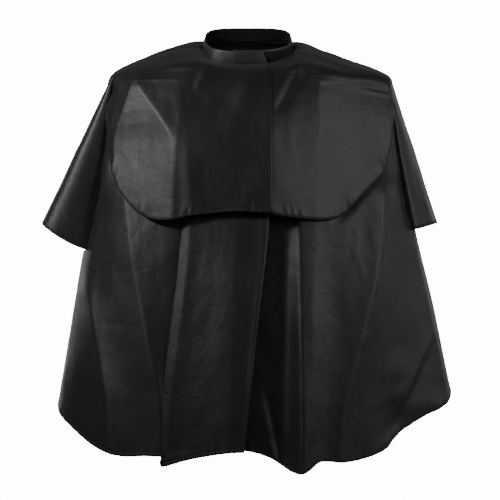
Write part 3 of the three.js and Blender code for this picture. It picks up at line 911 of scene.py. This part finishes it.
def flap(side):
    """One half of the chest flap, from the neckline over the shoulder to its free hem."""
    edge = OUTER_EDGE if side == RIGHT else INNER_EDGE
    share = np.linspace(0, 1, FLAP_COLUMNS)
    hang = lerp(side * FLAP_ANGLE, along_knots(edge, 3.5), share)
    fold_z = FLAP_FOLD - FLAP_FOLD_DROP * np.abs(hang / FLAP_ANGLE) ** 3
    fold_level = level_at(hang, fold_z)

    t = np.linspace(0, 1, FLAP_TOP_ROWS)[:, None]
    reach = side * lerp(88, FLAP_ANGLE, smooth(t, 0.72, 1.0))
    top_angle = lerp(reach, along_knots(edge, 3 * t), share)
    top_level = lerp(NECK_LEVEL + 0.02, fold_level, t ** 0.9)

    outline = even_steps(FLAP_OUTLINE[side], FLAP_COLUMNS)
    t = np.linspace(0, 1, FLAP_LOWER_ROWS + 1)[1:, None]
    low_angle = lerp(hang, angle_at(outline[:, 0], outline[:, 1]), t)
    low_level = level_at(low_angle, lerp(fold_z, outline[:, 1], t))

    angle, level = np.vstack([top_angle, low_angle]), np.vstack([top_level, low_level])
    spread = smooth(level, 0, 1.2)
    stand = lerp(NECK_STAND, FLAP_STAND, spread) * (1 - 0.5 * smooth(np.abs(angle), 56, 74))
    if side == RIGHT:
        stand = stand + lerp(*FLAP_LAP, spread) * smooth(angle, *LAP_RAMP)
    base, normal = body_surface(angle, level), body_normal(angle, level)
    points = lift_shoulders(base + normal * stand[..., None])
    points = hang_flat(points, FLAP_CREASES[side], smooth(-points[..., 2], *FLAP_FACETS_FROM[side]))
    points = points + normal * (push_of(FLAP_FOLDS[side], points) + 0.8 * wrinkles(points, 41))[..., None]
    pucker = hem_pucker(points, 6, reach=14, height=0.9)
    return points + normals_of(points) * pucker[..., None], cloth_uv(angle, level)


# ---- neckband ----
BAND_HEIGHT = 22.0
BAND_TILT = math.radians(25.2)
BAND_DROP = 0.9
BAND_CORNER = (2.6, 4.0)      # corner power in front and behind
BAND_BASE, BAND_TOP = (78, 67), (73, 60)     # half width and half depth
TAB_STAND = 5.4              # how far the tab stands off the band
TAB_RAMP = (-70, -32)        # angles over which it climbs there
TAB_BOTTOM = 2.5
TAB_SLANT = 4.0              # degrees that its end leans
TAB_HINGE = (-27, -17)       # angles across the tab where its hinge would lie; bend is handed points there but doesn't use them
BAND_FROM, BAND_TO = -70, -379
TAB_FROM, TAB_TO = -71, 20
LOOP_ANGLES, HOOK_ANGLES = (-15, 76), (-10, 18)
BAND_UNEVEN = 0.7            # how far the band's cloth swells out of its plain shape


def band_point(angle, height, distance):
    """A point on the leaning neckband, some distance outside its outer face."""
    angle, z, distance = np.broadcast_arrays(np.radians(angle), height, distance)
    share = z / BAND_HEIGHT
    across, ahead = np.sin(angle), np.cos(angle)
    corner = np.where(ahead > 0, *BAND_CORNER)
    reach = (np.abs(across) ** corner + np.abs(ahead) ** corner) ** (-1 / corner)
    x = (lerp(BAND_BASE[0], BAND_TOP[0], share) + distance) * across * reach
    y = -(lerp(BAND_BASE[1], BAND_TOP[1], share) + distance) * ahead * reach
    return np.stack([x, y * math.cos(BAND_TILT) - z * math.sin(BAND_TILT),
                     y * math.sin(BAND_TILT) + z * math.cos(BAND_TILT) - BAND_DROP], axis=-1)


def band_climb(angle):
    """How far the tab stands off the band, as it climbs over the band's other end."""
    return TAB_STAND * smooth(angle, *TAB_RAMP)


def no_climb(angle):
    """The layers that lie along the band don't climb."""
    return 0 * angle


def band_strip(angles, profile, columns, stand, slant=0.0):
    """A strip round the neck. profile holds (height, distance) points from its lower to its upper edge."""
    profile = np.array(profile, float)
    height, away = profile[:, :1], profile[:, 1:]
    across = np.linspace(0, 1, columns)[None, :]
    lean = slant * (0.5 - (height - TAB_BOTTOM) / (BAND_HEIGHT - TAB_BOTTOM)) * across
    angle = lerp(angles[0], angles[1], across) + lean
    plain = band_point(angle, height, stand(angle) + away)
    uneven = BAND_UNEVEN * crumple(plain, 71, 26) * np.clip(height / 6, 0.2, 1)
    return band_point(angle, height, stand(angle) + away + uneven)


# ---- putting the pieces together ----
def register(piece, slot, nodes):
    """Hides the CAD nodes that a piece stands for; what sort of thing it is, slot, is not used."""
    if nodes:
        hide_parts(*nodes)
    return piece


def place(piece, body, slot, *nodes):
    """Puts a whole piece on one body."""
    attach(piece, body)
    return register(piece, slot, nodes)


def bend(piece, body, start, end, slot, *nodes):
    """Bakes a piece's placement into its mesh and hides its CAD nodes; the moving body, the two points and
    slot are not used.
    """
    [c * MM for c in start]
    [c * MM for c in end]
    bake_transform(piece)
    return register(piece, slot, nodes)


def inside_of(rows, normals, depths):
    """Points on the inside of the cloth, at set distances from its edge."""
    return at_depths(rows, rows, depths) - unit(at_depths(rows, normals, depths)) * (CLOTH + UNDER_GAP)


FLAP_BEND = ((0, -130, -44), (0, -130, -80))
SLEEVE_BEND_WIDTH = 45
FACING_DEPTHS = (1.5, 6, 12, 17, 22)
FACING_STITCHES = (2.5, 20)
FACING_TOP_ROW = 60          # the row of the panel at which the facing begins, under the flap
SEAM_DEPTHS = (6.0, 3.0, 0.6)
UNDER_GAP = 0.15             # between the cloth and the tapes on its inside


def sleeve_bend(side):
    """Across the armhole's edge, from its line outwards."""
    angle = side * ARMHOLE_ANGLE
    top, foot = (body_surface(angle, level_at(angle, z)) for z in (SLEEVE_TOP, UNDERARM[side]))
    run = unit(foot - top)
    outward = np.array([-run[2] * side, 0, run[0] * side])
    start = np.array([top[0], 0, top[2]])
    return start, start + unit(outward) * SLEEVE_BEND_WIDTH


def build_panel(name, node, made, free_edge=None, side=None):
    """A body panel with its bound hem, and its facing where it has a free edge."""
    points, uv = made
    cloth = place(grid_mesh(f"{name}_cloth", points, NYLON, CLOTH, uv=uv), "cape", "cloth", node)
    hem_node = "hem_binding_" + name.replace("_panel", "")
    tape, stitches = bound_edge(f"{name}_hem_binding", points, "hem")
    parts = [place(tape, "cape", "binding", hem_node), place(stitches, "cape", "binding")]
    if free_edge:
        rows, normals = (grid[:, FACING_TOP_ROW:] for grid in rows_and_normals(points, free_edge))
        strip = inside_of(rows, normals, FACING_DEPTHS)
        middle = unit(at_depths(rows, normals, FACING_DEPTHS))[0, strip.shape[1] // 2]
        facing = grid_mesh(f"front_{side}_facing", strip, BINDING, TAPE, outward=middle)
        parts.append(place(facing, "cape", "binding", f"front_facing_{side}"))
        for depth in FACING_STITCHES:
            line = at_depths(rows, rows, [depth])[0]
            row = stitch_row(f"front_{side}_edge_stitches_{int(depth)}", line, normals[0])
            parts.append(place(row, "cape", "binding"))
    return cloth


def build_seams(front_points, back_points):
    """The tapes inside the side seams and the shoulder seams."""
    for side, word in SIDE_NAME.items():
        front_edge, back_edge = ("first", "last") if side == RIGHT else ("last", "first")
        sheets = [(front_points[side], front_edge), (back_points, back_edge)]
        on_shoulder = (BODY_LEVELS > 0.35) & (BODY_LEVELS < ARMHOLE_TOP - 0.2)
        spans = {f"side_seam_tape_{word}": BODY_LEVELS > FOOT[side] + FOOT_BEND + 0.05,
                 f"shoulder_seam_tape_{word}": on_shoulder}
        for node, span in spans.items():
            halves = []
            for points, edge in sheets:
                rows, normals = rows_and_normals(points, edge)
                halves.append(inside_of(rows[:, span], normals[:, span], SEAM_DEPTHS))
            strip = np.concatenate([halves[0], halves[1][::-1]])
            middle = strip[0, strip.shape[1] // 2] * np.array([1, 1, 0])
            piece = grid_mesh(node.replace("tape", "binding"), strip, BINDING, TAPE, outward=middle)
            place(piece, "cape", "tape", node)


def build_neck_seam():
    """The tape inside the seam between the band and the cape."""
    angle, level = np.meshgrid(np.linspace(-179, 179, 140), np.linspace(0.1, 0.3, 5))
    points = lift_shoulders(body_surface(angle, level)) - body_normal(angle, level) * (CLOTH + 0.9)
    tape = grid_mesh("neck_seam_tape_ring", points, BINDING, TAPE, outward=np.array([0, -1, 0.5]))
    place(tape, "cape", "tape", "neck_seam_binding")


def build_sleeve(side):
    """A sleeve with its bound hem, sewn to the cape along the armhole."""
    word, body = SIDE_NAME[side], f"{SIDE_NAME[side]}_sleeve"
    start, end = sleeve_bend(side)
    points = sleeve(side)
    cloth = grid_mesh(f"{word}_sleeve_cloth", points, NYLON, CLOTH)
    bend(cloth, body, start, end, "cloth", f"sleeve_{word}")
    tape, stitches = bound_edge(f"{word}_sleeve_hem_binding", points, "hem", 4.5)
    bend(tape, body, start, end, "binding", f"sleeve_hem_binding_{word}")
    bend(stitches, body, start, end, "binding")


def build_flap(side):
    """Half of the chest flap with its bound hem, its cloth shaped to turn down at the pressed fold."""
    word = SIDE_NAME[side]
    points, uv = flap(side)
    cloth = grid_mesh(f"{word}_flap_cloth", points, NYLON, CLOTH, uv=uv)
    bend(cloth, "chest_flap", *FLAP_BEND, "cloth", f"flap_upper_{word}", f"flap_{word}")
    tape, stitches = bound_edge(f"{word}_flap_hem_binding", points, "hem", 4.0)
    bend(tape, "chest_flap", *FLAP_BEND, "binding", f"flap_hem_binding_{word}")
    bend(stitches, "chest_flap", *FLAP_BEND, "binding")


def band_line(height, angles, away, stand=no_climb):
    """A line round the band at one height, and which way is out along it."""
    angle = np.arange(angles[0], angles[1], 1.0 if angles[1] > angles[0] else -1.0)
    out = away + stand(angle)
    line = band_point(angle, height, out)
    return line, unit(line - band_point(angle, height, out - 1))


# (height, distance) points of each layer of the band, from its lower to its upper edge
BAND_RIM = [(20, 0), (21.4, -0.15), (22.2, -0.5), (22.5, -1.0)]
OUTER_PROFILE = [(-2, 0.3), (1.5, -0.2), (3, 0.1), (5, 0.3), (8.5, 0.5), (12, 0.55), (15.5, 0.4),
                 (18.2, 0.15)] + BAND_RIM
LINING_PROFILE = [(-8, -1.9), (-3, -1.9), (2, -1.9), (6, -2.2), (11, -2.3), (16, -2.25),
                  (20, -2.1), (21.6, -1.9), (22.2, -1.5)]
TAB_PROFILE = [(2.9, -1.0), (2.5, -0.5), (2.8, 0.05), (4.5, 0.25), (8.5, 0.45), (13, 0.55),
               (17.5, 0.3)] + BAND_RIM
TAB_LINING_PROFILE = [(3.2, -1.2), (8, -1.3), (14, -1.3), (18, -1.3), (21.6, -1.2)]
CORE_PROFILE = [(3, -1.2), (12, -1.2), (20.5, -1.2)]
BAND_SEAMS = {"top": (19.6, 0.15), "foot": (3.6, 0.25)}
TAB_SEAMS = {"upper": 19.6, "lower": 4.6}


def build_neckband():
    """The stand band: outer cloth, interfacing and lining, all one length round the neck."""
    span = (BAND_FROM, BAND_TO)
    layers = [
        ("neckband_outer_cloth", OUTER_PROFILE, BAND_NYLON_LIGHTENED_FOR_HIGHLIGHT, "cloth", "neckband_outer"),
        ("neckband_interfacing_sheet", CORE_PROFILE, INTERFACING, "interfacing", "neckband_interfacing"),
        ("neckband_lining_cloth", LINING_PROFILE, NYLON, "cloth", "neckband_lining"),
    ]
    for name, (height, away) in BAND_SEAMS.items():
        row = stitch_row(f"neckband_{name}_stitches", *band_line(height, span, away))
        place(row, "cape", "binding")
    for name, profile, material, slot, node in layers:
        points = band_strip(span, profile, 190, no_climb)
        piece = place(grid_mesh(name, points, material, CLOTH), "cape", slot, node)


def build_tab():
    """The end of the band, which climbs over its other end."""
    start, end = (band_point(angle, 12, TAB_STAND) for angle in TAB_HINGE)
    for name, height in TAB_SEAMS.items():
        line = band_line(height, (TAB_FROM + 2, TAB_TO - 3), 0.35, band_climb)
        row = stitch_row(f"closure_tab_{name}_stitches", *line)
        bend(row, "closure_tab", start, end, "binding")
    inner_span = (TAB_FROM + 3, TAB_TO - 0.5)
    layers = [
        ("closure_tab_cloth", (TAB_FROM, TAB_TO), TAB_PROFILE, "closure_tab_outer"),
        ("closure_tab_lining_cloth", inner_span, TAB_LINING_PROFILE, "closure_tab_lining"),
    ]
    for name, span, profile, node in layers:
        points = band_strip(span, profile, 90, band_climb, TAB_SLANT)
        piece = grid_mesh(name, points, BAND_NYLON_LIGHTENED_FOR_HIGHLIGHT, CLOTH)
        bend(piece, "closure_tab", start, end, "cloth", node)


# the patches' sections, and the path of one loop and one hook as (along, up, radius) points
LOOP_PROFILE = [(4.6, 0.7), (5, 1.5), (12, 1.6), (19.8, 1.5), (20.2, 0.6)]
HOOK_PROFILE = [(height, TAB_STAND - 1.9) for height in (6, 12, 19)]
LOOP = [(-0.5, -0.1, 0.12), (-0.4, 0.45, 0.12), (0, 0.75, 0.12), (0.4, 0.45, 0.12), (0.5, -0.1, 0.12)]
HOOK = [(0, 0.1, 0.14), (0, -0.5, 0.12), (0.18, -0.8, 0.11), (0.42, -0.62, 0.1)]


def build_patches():
    """The loop patch on the band, and the hook patch under the tab."""
    rng = np.random.default_rng(7)
    points = band_strip(LOOP_ANGLES, LOOP_PROFILE, 60, no_climb)
    backing = grid_mesh("loop_patch_backing", points, LOOP_PILE, PATCH)
    place(backing, "cape", "tape", "loop_patch")
    angles, heights = np.arange(LOOP_ANGLES[0] + 1, LOOP_ANGLES[1] - 1, 1.05), np.arange(5.6, 19.6, 1.2)
    pile = scatter("loop_patch_pile", angles, heights, 1.55, LOOP, rng, LOOP_PILE)
    place(pile, "cape", "tape")

    points = band_strip(HOOK_ANGLES, HOOK_PROFILE, 24, no_climb)
    backing = grid_mesh("hook_patch_backing", points, HOOK_PLASTIC, PATCH)
    place(backing, "closure_tab", "tape", "hook_patch")
    angles, heights = np.arange(HOOK_ANGLES[0] + 1, HOOK_ANGLES[1] - 1, 1.2), np.arange(7, 18.5, 1.4)
    fingers = scatter("hook_patch_hooks", angles, heights, TAB_STAND - 2.3, HOOK, rng, HOOK_PLASTIC)
    place(fingers, "closure_tab", "tape")


def scatter(name, angles, heights, away, path, rng, material):
    """Tiny threads at places on the band, each turned by chance."""
    angle, height = np.meshgrid(angles, heights)
    angle = angle.ravel() + rng.uniform(-0.3, 0.3, angle.size)
    height = height.ravel() + rng.uniform(-0.3, 0.3, height.size)
    centre = band_point(angle, height, away)
    up = unit(centre - band_point(angle, height, away - 1))
    along = unit(band_point(angle + 1, height, away) - centre)
    beside = np.cross(up, along)
    turn = rng.uniform(0, math.pi, centre.shape[0])[:, None]
    return tiny_threads(name, centre, along * np.cos(turn) + beside * np.sin(turn), up, path, material, 4)


def build_cape():
    """Every piece of the cape; the placed pieces each on its body, the bent ones on none."""
    front_made = {RIGHT: right_front(), LEFT: left_front()}
    back_made = back()
    build_neckband()
    build_tab()
    build_patches()
    build_panel("front_right", "front_panel_right", front_made[RIGHT], "last", "right")
    build_panel("front_left", "front_panel_left", front_made[LEFT], "first", "left")
    build_panel("back", "back_panel", back_made)
    build_seams({side: made[0] for side, made in front_made.items()}, back_made[0])
    build_neck_seam()
    for side in SIDE_NAME:
        build_sleeve(side)
        build_flap(side)


# ---- stage ----
def area_light(name, place, target, size, power, spread=180):
    """A softbox in the stage's metres, turned to its target."""
    data = bpy.data.lights.new(name, "AREA")
    data.spread = math.radians(spread)
    data.shape = "RECTANGLE"
    data.size, data.size_y = size
    data.energy = power
    light = bpy.data.objects.new(name, data)
    light.location = place
    light.rotation_euler = (Vector(target) - Vector(place)).to_track_quat("-Z", "Y").to_euler()
    bpy.context.scene.collection.objects.link(light)


BACKDROP_GLOW = 14           # how bright the white backdrop looks to the camera
FLOOR_GLOW = 5
ROOM_LIGHT = 0.095            # what the room throws on the cloth
STAND_HEIGHT = 1.42          # the neck's height over the floor


def glow_for_camera(shading, shader, surface, glow_node, strength):
    """Mixes a plain white glow into a stage surface, which only the camera sees."""
    seen = shading.add("LightPath", {}, "Is Camera Ray")
    glow = shading.add(glow_node, {"Color": (1, 1, 1, 1), "Strength": strength}, 0)
    mixed = shading.add("MixShader", {"Fac": seen, 1: shader, 2: glow}, "Shader")
    shading.links.new(mixed, surface)


def room():
    """What the cape stands in: an even light, which the camera sees as white."""
    world = bpy.data.worlds.new("studio")
    bpy.context.scene.world = world
    world.use_nodes = True
    shading = Shading(world.node_tree)
    background = shading.nodes["Background"]
    shading.feed(background, {"Color": (0.95, 0.96, 1, 1), "Strength": ROOM_LIGHT})
    surface = shading.nodes["World Output"].inputs["Surface"]
    glow_for_camera(shading, background.outputs["Background"], surface, "Background", BACKDROP_GLOW)


def floor():
    """A pale floor, some way below the hem."""
    bpy.ops.mesh.primitive_plane_add(size=8, location=(0, 0, -STAND_HEIGHT))
    plane = bpy.context.object
    plane.name = "floor"
    material, shading, shader = new_material("floor_pale")
    shading.feed(shader, {"Base Color": (0.86, 0.86, 0.87, 1), "Roughness": 0.9})
    plane.data.materials.append(material)
    surface = shading.nodes["Material Output"].inputs["Surface"]
    glow_for_camera(shading, shader.outputs["BSDF"], surface, "Emission", FLOOR_GLOW)


def studio():
    """The room, five softboxes and the floor."""
    room()
    area_light("left_softbox", (-1.7, -1.24, 0.85), (-0.16, 0, -0.22), (0.5, 0.5), 3.1, 45)
    area_light("right_softbox", (1.6, -1.5, 0.5), (0.1, 0, -0.25), (0.6, 0.9), 7, 120)
    area_light("right_side_softbox", (2.4, -0.3, 0.0), (0.2, 0, -0.3), (0.6, 1.2), 3, 120)
    area_light("back_left_softbox", (-1.8, 1.9, -0.1), (0, 0, -0.35), (1.0, 1.2), 7.5)
    area_light("back_right_softbox", (2.0, 1.6, 0.3), (0, 0, -0.3), (1.0, 1.5), 7)
    floor()


def camera():
    """The photo's view: level, from the front, a little below the neck."""
    data = bpy.data.cameras.new("camera")
    data.sensor_width = 36
    data.lens = 127
    data.clip_end = 50
    obj = bpy.data.objects.new("camera", data)
    obj.location = (0.0034, -3.0, -0.338)
    obj.rotation_euler = (math.pi / 2, 0, 0)
    bpy.context.scene.collection.objects.link(obj)
    bpy.context.scene.camera = obj


camera()
studio()
build_cape()
